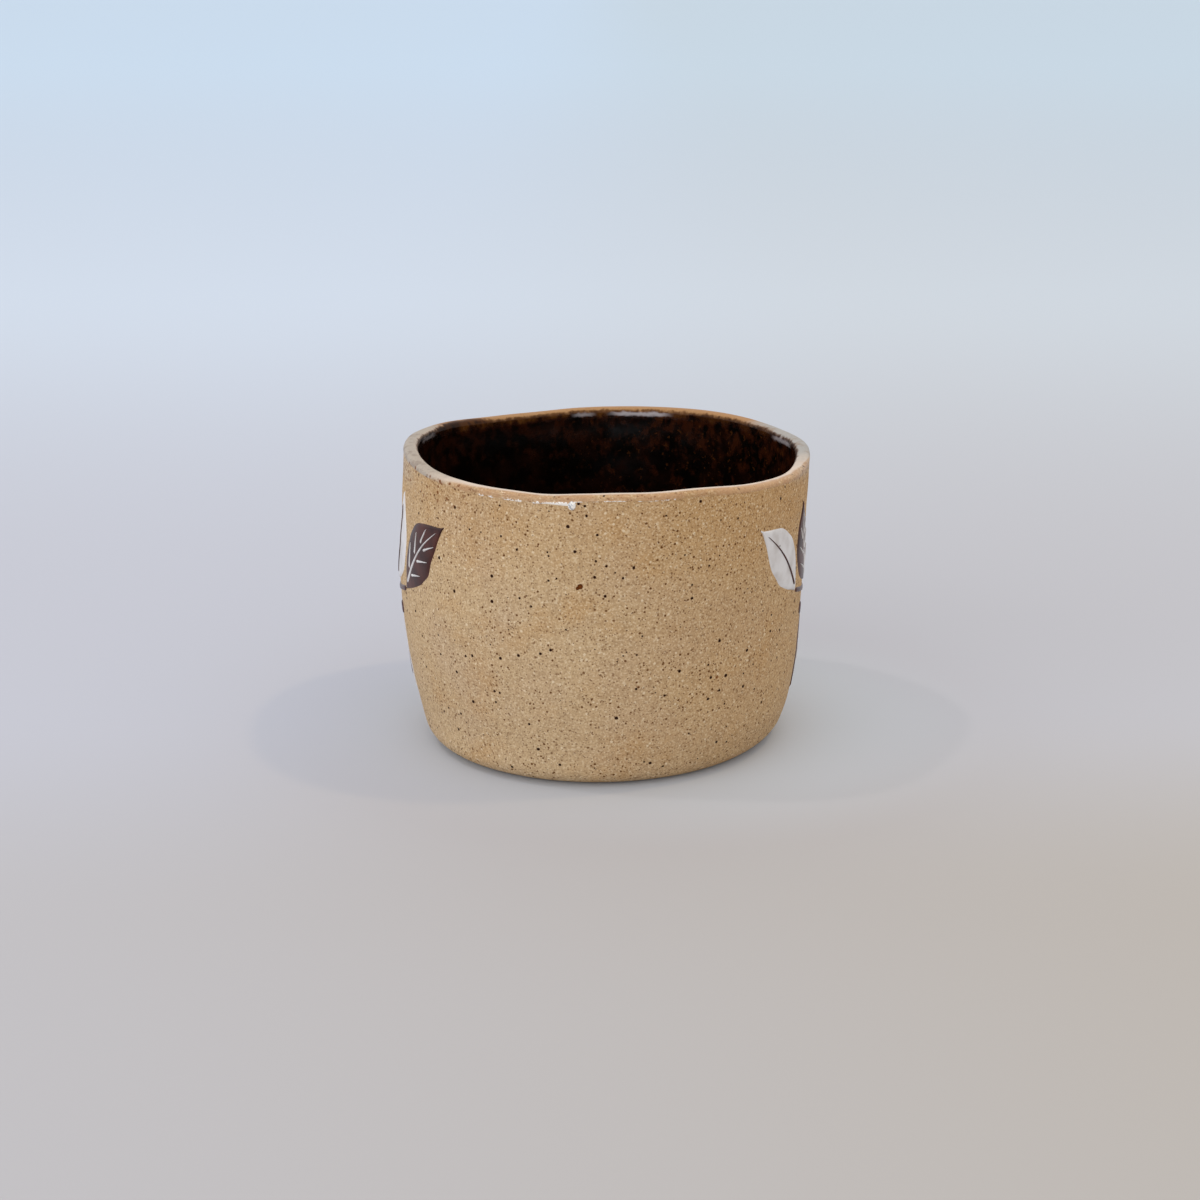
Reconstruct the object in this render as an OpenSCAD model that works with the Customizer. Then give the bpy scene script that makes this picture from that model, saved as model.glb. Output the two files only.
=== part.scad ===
// Hand-built stoneware cup: a rolled wall slab on a round floor slab, bonded with slip and an
// inside coil, with a dark liner glaze, a clear glaze over the lip and a painted leaf sprig
// running round each side from the back. The front is bare clay.
// Millimetres. +Z is up, the table is z = 0, the cup stands on the Z axis and its front is -Y.

/* [Cup] */
// Outside diameter of the clay rim
rim_d = 90; // [78:1:110]
// Outside diameter where the wall stands on the floor slab
foot_d = 80.4; // [70:0.2:100]
// Height of the clay rim above the table
cup_h = 64.3; // [56:0.1:90]
// How fast the wall straightens above the foot, 1 for a plain cone
swell = 3.6; // [1:0.1:5]

/* [Clay] */
// Thickness of the wall slab in its lower part
wall_t = 4; // [3.2:0.1:6]
// Thickness of the wall slab at the lip
lip_t = 2.8; // [2:0.1:3.2]
// Height of the rounding at the lip, less than half its thickness for a flattened lip
lip_h = 0.9; // [0.6:0.1:1]
// Height below the lip over which the wall thins
thin_h = 22; // [10:1:30]
// Thickness of the floor slab
floor_t = 4.4; // [3.6:0.1:8]
// Radius of the fillet that the inside coil makes
coil_r = 6; // [3:0.5:9]
// Thickness of the slip in the scored joints
slip_t = 0.4; // [0.2:0.1:0.8]
// Angle round the cup of the mitred seam in the wall, 90 for the back
seam_at = 90; // [60:1:120]

/* [Hand forming] */
// Share of the hand-made unevenness that is kept
unevenness = 1; // [0:0.1:2]
// How far the wall bellies out to the left at mid height
belly_lean = 0.8; // [0:0.1:1.5]

/* [Glaze] */
// Thickness of the dark liner glaze
liner_t = 0.5; // [0.3:0.1:1]
// Drop from the rim to the upper edge of the liner glaze
liner_drop = 1.4; // [1.3:0.1:6]
// Thickness of the clear glaze on the lip
clear_t = 0.25; // [0.15:0.05:0.5]
// Drop from the rim to the lower edge of the clear glaze outside
clear_drop = 1.5; // [1.4:0.1:6]
// Thickness of the bead along that lower edge
bead_t = 0.35; // [0.3:0.05:0.8]
// Angle round the cup of the one drip in the clear glaze, 270 for the front
drip_at = 262; // [200:0.5:340]
// How far the drip runs below the edge
drip_l = 1.2; // [0:0.1:4]
// Width of the drip
drip_w = 1.6; // [1:0.1:4]

/* [Painted sprigs] */
// Bare clay between the rim and the tips of the upper leaves
bare_top = 8; // [6:0.5:14]
// Bare clay between the floor slab and the tips of the lower leaves
bare_foot = 6; // [3:0.5:12]
// Angle of bare clay at the front, between the tips of the two sprigs
bare_front = 85; // [60:1:140]
// Gap from the middle of the back to the start of each stem
stem_gap = 5; // [4:0.5:8]
// Width of a stem where it starts
stem_w = 2; // [1.5:0.1:3]
// How much higher a stem ends than it starts
stem_climb = 6; // [0:0.5:8]
// Pairs of leaves along each stem, besides the one leaf at its end
leaf_pairs = 3; // [1:1:3]
// Length of the leaf at the end of a stem
end_leaf_l = 25; // [16:0.5:26]
// Width of a leaf
leaf_w = 11.5; // [6:0.5:12]
// Angle between a leaf and its stem
leaf_spread = 58; // [45:1:70]
// Angle between the end leaf and its stem
end_leaf_spread = 30; // [0:1:45]
// Thickness of the painted slip and glaze
paint_t = 0.4; // [0.25:0.05:0.6]
// Width of a painted vein at its base
vein_w = 0.9; // [0.6:0.1:1.4]

/* [Hidden] */
// Facets round the cup, besides those at the drip
sectors = 54;
// Rows of facets up the inside of the wall
courses = 7;
// Clearance of a painted stroke from the faceted face under it
seat = 0.08;
// Clearance of the clear glaze's lower edge from the wall
edge_seat = 0.02;
// Clearance from a stem to a leaf or a berry
stroke_gap = 0.9;
// Height over which the liner glaze thins to its upper edge
liner_fade_h = 7;
// Least height of the clear glaze's skirt below the rounding of the lip
skirt_min = 0.2;
// Heights of the bead's fullest line and of its top, as shares of that skirt
bead_belly = 0.35;
bead_top = 0.8;
// Squareness of the lip's corners: 1 for an ellipse, less for fuller corners
lip_corner = 0.75;
// How fast the unevenness grows from the floor to the rim, for the radius, the height and thumb marks
radius_growth = 1.5;
height_growth = 3;
thumb_growth = 8;

// Waves of the rim's radius and of its height: times round, size in mm, where the crest is
rim_out_of_round = [[2, 0.70, -170], [3, 0.45, 60], [5, 0.45, 25]];
rim_up_and_down = [[1, 0.85, -170], [2, 0.60, 125], [3, 0.75, 160], [4, 0.35, 105]];
// Short rises and dips of the lip where a thumb pressed it: angle and half width, size in mm
thumb_marks = [[335, 11, 0.8], [213, 16, -0.3]];
// Waves of the clear glaze's lower edge
glaze_edge = [[4, 0.10, 30], [7, 0.12, 100], [13, 0.06, 200]];

rim_r = rim_d / 2;
foot_r = foot_d / 2;
// The wall leaves the floor slab at this lean, and the slab's edge is rounded to meet it
lean = atan(swell * (rim_r - foot_r) / (cup_h - floor_t));
edge_r = floor_t / (1 - sin(lean));
flat_r = foot_r - edge_r * cos(lean);

base_z = floor_t + slip_t;
coil_z = floor_t + coil_r;
liner_z = cup_h - liner_drop;
lip_z = cup_h - lip_h;

// The ends of the wall slab are cut at 45 degrees, so the seam slants by one wall thickness
slant = atan(wall_t / rim_r);
half_slip = asin(slip_t / 2 / rim_r);

// Side of the cup that a sprig runs along: 1 is the left side seen from the front, -1 the right
SIDES = [1, -1];
// Leaves are counted along each stem from its end: the end leaf is 0, then they go up and down.
// Their colours change with each pair, and the two sides start with different colours.
LEAVES = [for (side = SIDES) for (k = [0 : 2 * leaf_pairs]) [side, k]];
function is_white(leaf) = (floor((leaf[1] + 1) / 2) % 2 == 1) == (leaf[0] == 1);
WHITE_LEAVES = [for (leaf = LEAVES) if (is_white(leaf)) leaf];
BROWN_LEAVES = [for (leaf = LEAVES) if (!is_white(leaf)) leaf];

CLAY = "#c9aa80";
SLIP = "#bfa078";
LINER = "#2a120b";
CLEAR = "#d8b896";
WHITE = "#e6e1da";
BROWN = "#4a2a24";

// Shape of the hand-formed wall

function smooth(t) = let (c = min(max(t, 0), 1)) c * c * (3 - 2 * c);

// Share of the way up the wall, 0 at the floor slab and 1 at the rim
function rise(z) = min(max((z - floor_t) / (cup_h - floor_t), 0), 1);

function waves(rows, a) = [for (w = rows) w[1] * cos(w[0] * a - w[2])] * [for (w = rows) 1];

function thumbs(a) =
    [for (t = thumb_marks) t[2] * exp(-pow(((a - t[0] + 540) % 360 - 180) / t[1], 2))]
    * [for (t = thumb_marks) 1];

function mean_r(z) = foot_r + (rim_r - foot_r) * (1 - pow(1 - rise(z), swell));

function hand_r(a, z) = unevenness * (
    pow(rise(z), radius_growth) * waves(rim_out_of_round, a)
    - belly_lean * pow(sin(180 * rise(z)), 2) * cos(a)
);

function hand_z(a, z) = unevenness * (
    pow(rise(z), height_growth) * waves(rim_up_and_down, a) + pow(rise(z), thumb_growth) * thumbs(a)
);

// The point at angle a, at depth d inside the wall's outer face and at height z on an even cup
function place(a, d, z) =
    let (
        r = mean_r(z) + hand_r(a, z) - d,
        turn = a + slant * min(d, wall_t) / wall_t
    )
    [r * cos(turn), r * sin(turn), z + hand_z(a, z)];

function wall_thickness(z) = lip_t + (wall_t - lip_t) * smooth((lip_z - z) / thin_h);

// Angles of the facets, from one side of the seam round to the other, closer together at the drip
even_turns = [for (i = [0 : sectors]) seam_at + half_slip + (360 - 2 * half_slip) * i / sectors];
drip_half = 90 * drip_w / (PI * rim_r);
drip_turns = [for (k = [-2 : 2]) drip_at + k * drip_half / 2];
drip_room = 1.6 * drip_half;
turns = concat(
    [for (a = even_turns) if (a < drip_at - drip_room) a],
    drip_turns,
    [for (a = even_turns) if (a > drip_at + drip_room) a]
);
seam_turns = [turns[len(turns) - 1], turns[0] + 360];

// Solids swept round the cup

function reversed(list) = [for (i = [len(list) - 1 : -1 : 0]) list[i]];

// Two triangles on four of the points, split along the shorter diagonal, so that two solids that
// share four points also share their facets
function quad(points, a, b, c, d) = norm(points[a] - points[c]) < norm(points[b] - points[d])
    ? [[a, b, c], [a, c, d]]
    : [[b, c, d], [b, d, a]];

// Sweeps an outline round the cup's axis. outline(a) gives [depth, height] points at angle a.
// round: the sweep closes on itself. looped: the outline does, or else its ends are flat discs.
// A sweep with ends has an outline whose second half runs back along its first half.
module sweep(outline, angles, round = true, looped = true) {
    n = len(angles);
    m = len(outline(angles[0]));
    points = [for (a = angles) for (p = outline(a)) place(a, p[0], p[1])];
    sides = [
        for (i = [0 : round ? n - 1 : n - 2]) for (j = [0 : looped ? m - 1 : m - 2])
            let (i2 = (i + 1) % n, j2 = (j + 1) % m)
                each quad(points, i * m + j, i * m + j2, i2 * m + j2, i2 * m + j)
    ];
    ends = round ? [] : [
        for (j = [0 : m / 2 - 2]) let (back = m - 1 - j, last = (n - 1) * m)
            each concat(
                quad(points, j, back, back - 1, j + 1),
                quad(points, last + j, last + j + 1, last + back - 1, last + back)
            )
    ];
    discs = looped ? [] : [
        [for (i = [0 : n - 1]) i * m],
        [for (i = [n - 1 : -1 : 0]) i * m + m - 1]
    ];
    polyhedron(points, concat(sides, ends, discs), convexity = 8);
}

// Clay

wall_heights = concat(
    [base_z],
    [for (i = [0 : courses]) coil_z + (liner_z - coil_z) * i / courses],
    [lip_z]
);
lip_angles = [22.5, 45, 67.5];
outer_face = [for (z = wall_heights) [0, z]];
inner_face = [for (z = wall_heights) [wall_thickness(z), z]];
function lip_arc(grow) = [
    for (b = lip_angles)
        let (across = pow(cos(b), lip_corner), up = pow(sin(b), lip_corner))
            [lip_t / 2 - (lip_t / 2 + grow) * across, lip_z + (lip_h + grow) * up]
];
function lip_arc_inside(grow) = [for (p = reversed(lip_arc(grow))) [lip_t - p[0], p[1]]];
wall_outline = concat(outer_face, lip_arc(0), lip_arc_inside(0), reversed(inner_face));

// Floor slab: a disc with its lower edge rounded up into the wall
module floor_slab() {
    color(CLAY) rotate_extrude($fn = 120) {
        square([flat_r, floor_t]);
        intersection() {
            translate([flat_r, edge_r]) circle(edge_r, $fn = 120);
            square([foot_r, floor_t]);
        }
    }
}

// Slip in the scored joint between the floor slab and the wall, wiped back inside for the coil
module foot_slip() {
    color(SLIP) translate([0, 0, floor_t]) difference() {
        cylinder(h = slip_t, r = foot_r, $fn = 120);
        translate([0, 0, -slip_t]) cylinder(h = 3 * slip_t, r = foot_r - wall_t + slip_t, $fn = 120);
    }
}

// Wall slab: a strip rolled into a ring, its mitred ends one slip layer apart at the back
module wall_slab() {
    color(CLAY) sweep(function(a) wall_outline, turns, round = false);
}

// Slip in the mitred seam of the wall
module seam_slip() {
    color(SLIP) sweep(function(a) wall_outline, seam_turns, round = false);
}

coil_angles = [0, 22.5, 45, 67.5, 90];
// Arc of the coil's hollow face from the wall down to the floor, or of the glaze on it
function coil_arc(grow) = [
    for (b = coil_angles)
        let (r = coil_r - grow) [wall_t + coil_r - r * cos(b), coil_z - r * sin(b)]
];

// Coil of clay pressed into the corner between wall and floor
module corner_coil() {
    outline = concat([[wall_t + seat, floor_t]], reversed(coil_arc(0)));
    color(CLAY) sweep(function(a) outline, turns);
}

// Glaze

// Liner glaze: one skin over the wall, the coil and the floor. It thins to its upper edge, where it
// is as thick as the clear glaze that meets it
module liner_glaze() {
    wall_rows = [for (p = inner_face) if (p[1] > coil_z && p[1] <= liner_z) p];
    skin = [
        for (p = wall_rows)
            let (fade = smooth((liner_z - p[1]) / liner_fade_h))
                [p[0] + clear_t + (liner_t - clear_t) * fade, p[1]]
    ];
    outline = concat(reversed(coil_arc(0)), wall_rows, reversed(skin), coil_arc(liner_t));
    color(LINER) sweep(function(a) outline, turns, looped = false);
}

// Height of the clear glaze's lower edge outside, with its one drip
drip_slope = 0.6 * drip_half;
function clear_edge(a) =
    min(lip_z - skirt_min, cup_h - clear_drop + unevenness * waves(glaze_edge, a))
    - drip_l * exp(-pow((a - drip_at) / drip_slope, 2));

// Clear glaze over the lip, from the liner inside to a beaded edge outside
module rim_glaze() {
    inside = [lip_t, lip_z];
    inside_end = wall_thickness(liner_z);
    outline = function(a)
        let (e = clear_edge(a), skirt = lip_z - e, under = concat(
            [[-edge_seat, e], [0, lip_z]], lip_arc(0), lip_arc_inside(0), [inside, [inside_end, liner_z]]
        ))
        concat(
            under,
            [[inside_end + clear_t, liner_z], [lip_t + clear_t, lip_z]],
            reversed(lip_arc_inside(clear_t)),
            reversed(lip_arc(clear_t)),
            [[-clear_t, lip_z], [-clear_t, e + bead_top * skirt]],
            [[-bead_t, e + bead_belly * skirt], [-bead_t / 2, e]]
        );
    color(CLEAR) sweep(outline, turns);
}

// Painted sprigs

// A stroke of slip or glaze on the wall, thinner at its edges. path holds points [x, y]: x is mm
// round the outside from the back to the cup's left, y is the height. half holds its half widths.
stroke_dome = 0.45;
module stroke(path, half, lift, thickness, across) {
    n = len(path);
    row = 2 * (across + 1);
    function heading(i) = let (d = path[min(i + 1, n - 1)] - path[max(i - 1, 0)]) d / norm(d);
    points = [
        for (i = [0 : n - 1]) for (j = [0 : across]) for (side = [0, 1])
            let (
                h = heading(i),
                w = 2 * j / across - 1,
                p = path[i] + half[i] * w * [-h[1], h[0]],
                dome = 1 - stroke_dome * w * w
            )
            place(90 + p[0] / rim_r * 180 / PI, -(lift + side * thickness * dome), p[1])
    ];
    function at(i, j, side) = i * row + 2 * j + side;
    function face(a, b, c, d) = quad(points, a, b, c, d);
    faces = concat(
        [for (i = [0 : n - 2]) for (j = [0 : across - 1]) each concat(
            face(at(i, j, 1), at(i, j + 1, 1), at(i + 1, j + 1, 1), at(i + 1, j, 1)),
            face(at(i, j, 0), at(i + 1, j, 0), at(i + 1, j + 1, 0), at(i, j + 1, 0))
        )],
        [for (i = [0 : n - 2]) each concat(
            face(at(i, 0, 0), at(i, 0, 1), at(i + 1, 0, 1), at(i + 1, 0, 0)),
            face(at(i, across, 0), at(i + 1, across, 0), at(i + 1, across, 1), at(i, across, 1))
        )],
        [for (j = [0 : across - 1]) each concat(
            face(at(0, j, 0), at(0, j + 1, 0), at(0, j + 1, 1), at(0, j, 1)),
            face(at(n - 1, j, 0), at(n - 1, j, 1), at(n - 1, j + 1, 1), at(n - 1, j + 1, 0))
        )]
    );
    polyhedron(points, faces, convexity = 4);
}

function turned(p, angle) =
    [p[0] * cos(angle) - p[1] * sin(angle), p[0] * sin(angle) + p[1] * cos(angle)];

// The sprigs fill the band of wall between the bare clay above and below
band_low = floor_t + bare_foot;
band_high = cup_h - bare_top;
end_leaf_reach = stroke_gap + end_leaf_l * cos(end_leaf_spread);
stem_l = rim_r * (180 - bare_front / 2) * PI / 180 - stem_gap - end_leaf_reach;
stem_swing = 2.2;
stem_taper = 0.45;

// Point and slope of a stem on the cup's left at distance s from its start
function stem_y(s) =
    (band_low + band_high) / 2 + stem_climb * (s / stem_l - 0.5) + stem_swing * sin(360 * s / stem_l);
function stem_point(s) = [stem_gap + s, stem_y(s)];
function stem_slope(s) = atan(stem_y(s + 0.5) - stem_y(s - 0.5));

// A point drawn for the cup's left, or the same one on its right
function on_side(side, p) = [side * p[0], p[1]];

stem_steps = 20;
module stem(side) {
    steps = [for (i = [0 : stem_steps]) i / stem_steps];
    path = [for (t = steps) on_side(side, stem_point(stem_l * t))];
    half = [for (t = steps) stem_w / 2 * (1 - stem_taper * t)];
    color(BROWN) stroke(path, half, seat, paint_t, 2);
}

// Distance of leaf k along its stem, and the way that it points
first_leaf = 5;
last_leaf = 11;
leaf_step = (stem_l - first_leaf - last_leaf) / (2 * leaf_pairs - 1);
function leaf_s(k) = k == 0 ? stem_l : stem_l - last_leaf - leaf_step * (k - 1);
function leaf_up(k) = k == 0 ? 0 : (k % 2 == 1 ? 1 : -1);
function leaf_heading(k) =
    stem_slope(leaf_s(k)) + (k == 0 ? end_leaf_spread : leaf_up(k) * leaf_spread);

function leaf_base(k) =
    let (clear = k == 0 ? [stroke_gap, 0] : [0, leaf_up(k) * (stem_w / 2 + stroke_gap)])
    stem_point(leaf_s(k)) + turned(clear, stem_slope(leaf_s(k)));

// A leaf on the stem runs from its base to the edge of the band
function leaf_l(k) = k == 0
    ? end_leaf_l
    : ((leaf_up(k) > 0 ? band_high : band_low) - leaf_base(k)[1]) / sin(leaf_heading(k));

leaf_steps = 8;
leaf_bow = 1.6;
// Point of a leaf at share t of its length and c mm to one side of its rib
function leaf_point(side, k, t, c = 0) =
    let (bow = leaf_bow * (k == 0 ? 1 : -leaf_up(k)) * sin(180 * t))
    on_side(side, leaf_base(k) + turned([leaf_l(k) * t, bow + c], leaf_heading(k)));
leaf_tip = 0.3;
// A leaf is widest a little before its middle, and its two ends are drawn out to points
leaf_fullness = 0.85;
leaf_taper = 1.2;
function leaf_half(t) = max(leaf_tip, leaf_w / 2 * pow(sin(180 * pow(t, leaf_fullness)), leaf_taper));

module leaf(side, k) {
    steps = [for (i = [0 : leaf_steps]) i / leaf_steps];
    stroke([for (t = steps) leaf_point(side, k, t)], [for (t = steps) leaf_half(t)], seat, paint_t, 4);
}

module white_leaf(i) {
    color(WHITE) leaf(WHITE_LEAVES[i - 1][0], WHITE_LEAVES[i - 1][1]);
}

module brown_leaf(i) {
    color(BROWN) leaf(BROWN_LEAVES[i - 1][0], BROWN_LEAVES[i - 1][1]);
}

// A vein is painted on top of its leaf
vein_lift = paint_t + 2 * seat;
vein_t = paint_t / 2;
rib_from = 0.08;
rib_to = 0.88;
rib_steps = 6;
// Share of a rib's width that is left at the tip of the leaf, and of a side vein's at its end
rib_end = 0.05;
side_vein_end = 0.15;
module rib(side, k) {
    steps = [for (i = [0 : rib_steps]) rib_from + (rib_to - rib_from) * i / rib_steps];
    half = [for (t = steps) vein_w / 2 * (1 + rib_end - t)];
    stroke([for (t = steps) leaf_point(side, k, t)], half, vein_lift, vein_t, 1);
}

module white_leaf_ribs() {
    color(BROWN) for (leaf = WHITE_LEAVES) rib(leaf[0], leaf[1]);
}

vein_starts = [0.22, 0.42, 0.6];
vein_run = 0.17;
vein_reach = 0.72;
module side_vein(side, k, t0, way) {
    reach = vein_reach * leaf_half(t0 + vein_run);
    steps = [0, 0.5, 1];
    path = [for (f = steps) leaf_point(side, k, t0 + vein_run * f, way * (vein_w + (reach - vein_w) * f))];
    stroke(path, [for (f = steps) vein_w / 3 * (1 + side_vein_end - f)], vein_lift, vein_t, 1);
}

module brown_leaf_veins() {
    color(WHITE) for (leaf = BROWN_LEAVES) {
        rib(leaf[0], leaf[1]);
        for (t0 = vein_starts) for (way = [-1, 1]) side_vein(leaf[0], leaf[1], t0, way);
    }
}

// A round dab beside the stem, across from each leaf base
berry_r = 1.5;
berry_out = stem_w / 2 + stroke_gap + berry_r + 1;
berry_ahead = 2.5;
// Half width of a berry's two flattened ends
berry_end = 0.2;
module berry(side, k) {
    steps = [-90, -50, 0, 50, 90];
    from_stem = turned([berry_ahead, -leaf_up(k) * berry_out], stem_slope(leaf_s(k)));
    centre = stem_point(leaf_s(k)) + from_stem;
    path = [for (b = steps) on_side(side, centre + [berry_r * sin(b), 0])];
    stroke(path, [for (b = steps) max(berry_end, berry_r * cos(b))], seat, paint_t, 2);
}

module berries() {
    color(BROWN) for (side = SIDES) for (k = [1 : 2 * leaf_pairs]) berry(side, k);
}

floor_slab();
foot_slip();
wall_slab();
seam_slip();
corner_coil();
liner_glaze();
rim_glaze();
stem(SIDES[0]);  // stem_left
stem(SIDES[1]);  // stem_right
for (i = [1 : len(WHITE_LEAVES)]) white_leaf(i);
for (i = [1 : len(BROWN_LEAVES)]) brown_leaf(i);
white_leaf_ribs();
brown_leaf_veins();
berries();
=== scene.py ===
# A hand-built stoneware cup: speckled clay, a dark liner glaze, a clear glaze over the lip and a
# painted leaf sprig running round each side from the back. The front is bare clay.
# Lengths are in millimetres, heights are above the table, the front is -Y and meshes are in metres.
import math

import bmesh
import bpy
from mathutils import Euler, Matrix, Vector, noise


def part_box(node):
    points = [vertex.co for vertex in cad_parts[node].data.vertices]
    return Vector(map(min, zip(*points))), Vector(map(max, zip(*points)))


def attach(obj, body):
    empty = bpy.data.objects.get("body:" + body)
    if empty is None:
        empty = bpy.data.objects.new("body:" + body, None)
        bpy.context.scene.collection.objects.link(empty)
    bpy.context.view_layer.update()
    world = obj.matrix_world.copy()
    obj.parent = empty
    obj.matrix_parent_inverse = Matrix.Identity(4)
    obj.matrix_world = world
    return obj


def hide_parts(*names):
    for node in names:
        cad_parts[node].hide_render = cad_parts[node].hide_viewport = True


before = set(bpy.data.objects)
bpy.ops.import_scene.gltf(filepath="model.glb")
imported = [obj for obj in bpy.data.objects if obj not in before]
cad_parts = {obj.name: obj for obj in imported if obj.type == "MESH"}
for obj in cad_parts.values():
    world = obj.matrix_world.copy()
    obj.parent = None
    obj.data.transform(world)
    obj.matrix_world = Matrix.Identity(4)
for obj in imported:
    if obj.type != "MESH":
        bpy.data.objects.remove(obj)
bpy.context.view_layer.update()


# Floor slab
# A disc of buff stoneware full of iron specks, rolled out and cut with a knife. Its lower edge was
# rubbed round with a wet finger, most of all at the right of the front, and the clay is left bare.

MM = 0.001
# Radius and thickness of the slab, as the frame has them
floor_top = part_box("floor_slab")[1]
FOOT_R = floor_top.x / MM
FLOOR_T = floor_top.z / MM
# Outside radius of the rim, mean height of the cup, thickness of the wall
RIM_R = 45
CUP_H = 64.3
WALL_T = 4
# How fast the wall straightens above the foot
SWELL = 3.6
# The wall leaves the floor slab at this lean, and the slab's rounded edge meets it
LEAN = math.atan(SWELL * (RIM_R - FOOT_R) / (CUP_H - FLOOR_T))
EDGE_R = FLOOR_T / (1 - math.sin(LEAN))
FLAT_R = FOOT_R - EDGE_R * math.cos(LEAN)
EDGE_STEPS = 24
# A sector of the cup is spun, then copied round, and points this close together are joined
SECTORS = 12
SECTOR_STEPS = 30
JOIN_WITHIN = 0.0005
# Edges that turn by more than this stay sharp
SHARP_TURN = math.radians(50)

# Waves of the rim's radius and of its height: times round, size, where the crest is in degrees
OUT_OF_ROUND = ((2, 0.70, -170), (3, 0.45, 60), (5, 0.45, 25))
UP_AND_DOWN = ((1, 0.85, -170), (2, 0.60, 125), (3, 0.75, 160), (4, 0.35, 105))
# Rises and dips of the lip where a thumb pressed it: angle and half width in degrees, height
THUMB_MARKS = (
    (2, 18, 1.5), (75, 60, -0.2), (110, 9, -0.35), (126, 12, -0.45),
    (213, 16, -0.3), (254, 7, -0.25), (283, 8, -0.25), (312, 11, -0.25),
)
# How steeply these three grow towards the lip, as powers of the share of the way up
ROUND_POWER = 1.5
HEIGHT_POWER = 3
THUMB_POWER = 8
# How far the wall bellies out to the left at mid height
BELLY_LEAN = 0.8
# Waves of the foot's edge, how high they reach up the wall, and the radius from which they grow
FOOT_OUT_OF_ROUND = ((2, 1.1, 100),)
FOOT_WAVE_H = 10
FOOT_WAVE_R = 30
# Shallow dents that the fingers left: width and depth. They start over this share of the way up
DENTS = ((14, 0.22), (5, 0.07))
DENT_START = 0.25
# The mitred seam at the back, smoothed over but still a low ridge
SEAM_ANGLE = math.pi / 2
SEAM_W = 1.8
SEAM_H = 0.16
# The ridge comes and goes round this share of its height, over this length
SEAM_MEAN = 0.6
SEAM_RUN = 9


def ease(t):
    """0 up to t = 0, 1 from t = 1 on, and a soft slope between."""
    t = min(max(t, 0), 1)
    return t * t * (3 - 2 * t)


def rise(z):
    """Share of the way up the wall, 0 at the floor slab and 1 at the rim."""
    return min(max((z - FLOOR_T) / (CUP_H - FLOOR_T), 0), 1)


def mean_r(z):
    """Outside radius of an even cup at height z."""
    return FOOT_R + (RIM_R - FOOT_R) * (1 - (1 - rise(z)) ** SWELL)


def waves(rows, angle):
    """Sum of the waves at this angle."""
    return sum(size * math.cos(times * angle - math.radians(crest)) for times, size, crest in rows)


def dents(angle, z):
    """How far the clay stands out at this place because of dents and the seam."""
    spot = Vector((RIM_R * math.cos(angle), RIM_R * math.sin(angle), z))
    depth = sum(size * noise.noise(spot / width) for width, size in DENTS)
    from_seam = (angle - SEAM_ANGLE) * RIM_R / SEAM_W
    ridge = SEAM_H * math.exp(-from_seam * from_seam)
    depth += ridge * (SEAM_MEAN + noise.noise(spot / SEAM_RUN))
    return depth * ease(rise(z) / DENT_START)


def thumb_lift(angle):
    """How much higher the lip is at this angle because of the thumb marks."""
    lift = 0
    for at, half_width, height in THUMB_MARKS:
        away = (math.degrees(angle) - at + 180) % 360 - 180
        lift += height * math.exp(-(away / half_width) ** 2)
    return lift


def hand_form(form):
    """Moves every point of an evenly turned form in millimetres to where the hands left it."""
    for point in form.verts:
        x, y, z = point.co
        angle = math.atan2(y, x)
        r = math.hypot(x, y)
        up = rise(z)
        belly = BELLY_LEAN * math.sin(math.pi * up) ** 2 * math.cos(angle)
        at_foot = (1 - ease(z / FOOT_WAVE_H)) * ease((r - FOOT_WAVE_R) / (FOOT_R - FOOT_WAVE_R))
        r += up ** ROUND_POWER * waves(OUT_OF_ROUND, angle) - belly + dents(angle, z)
        r += at_foot * waves(FOOT_OUT_OF_ROUND, angle)
        lift = up ** HEIGHT_POWER * waves(UP_AND_DOWN, angle) + up ** THUMB_POWER * thumb_lift(angle)
        point.co = Vector((r * math.cos(angle), r * math.sin(angle), z + lift)) * MM


def arc(centre, radius, start, end, steps):
    """Points on an arc from one angle to another, in degrees, both ends with it."""
    turns = [math.radians(start + (end - start) * i / steps) for i in range(steps + 1)]
    return [(centre[0] + radius * math.cos(t), centre[1] + radius * math.sin(t)) for t in turns]


def turn(outline, closed=True, marks=()):
    """Turns an outline of (radius, height) points round the cup's axis. Each point keeps its mark."""
    form = bmesh.new()
    mark_layer = form.verts.layers.float.new("mark")
    points = [form.verts.new((r, 0, z)) for r, z in outline]
    for point, mark in zip(points, marks):
        point[mark_layer] = mark
    pairs = list(zip(points, points[1:]))
    if closed:
        pairs.append((points[-1], points[0]))
    edges = [form.edges.new(pair) for pair in pairs]
    sector = 2 * math.pi / SECTORS
    about = {"cent": (0, 0, 0), "axis": (0, 0, 1), "dvec": (0, 0, 0)}
    bmesh.ops.spin(form, geom=points + edges, angle=sector, steps=SECTOR_STEPS, **about)
    whole_sector = [*form.verts, *form.edges, *form.faces]
    bmesh.ops.spin(
        form, geom=whole_sector, angle=2 * math.pi - sector, steps=SECTORS - 1,
        use_duplicate=True, **about,
    )
    bmesh.ops.remove_doubles(form, verts=form.verts, dist=JOIN_WITHIN)
    bmesh.ops.recalc_face_normals(form, faces=form.faces)
    return form


def piece(name, form, finish, slot, *nodes):
    """Makes a finished form an object that stands for its CAD nodes."""
    mesh = bpy.data.meshes.new(name)
    form.to_mesh(mesh)
    form.free()
    mesh.shade_smooth()
    mesh.set_sharp_from_angle(angle=SHARP_TURN)
    mesh.materials.append(finish.material)
    made = bpy.data.objects.new(name, mesh)
    bpy.context.scene.collection.objects.link(made)
    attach(made, "root")
    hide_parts(*nodes)


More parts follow.
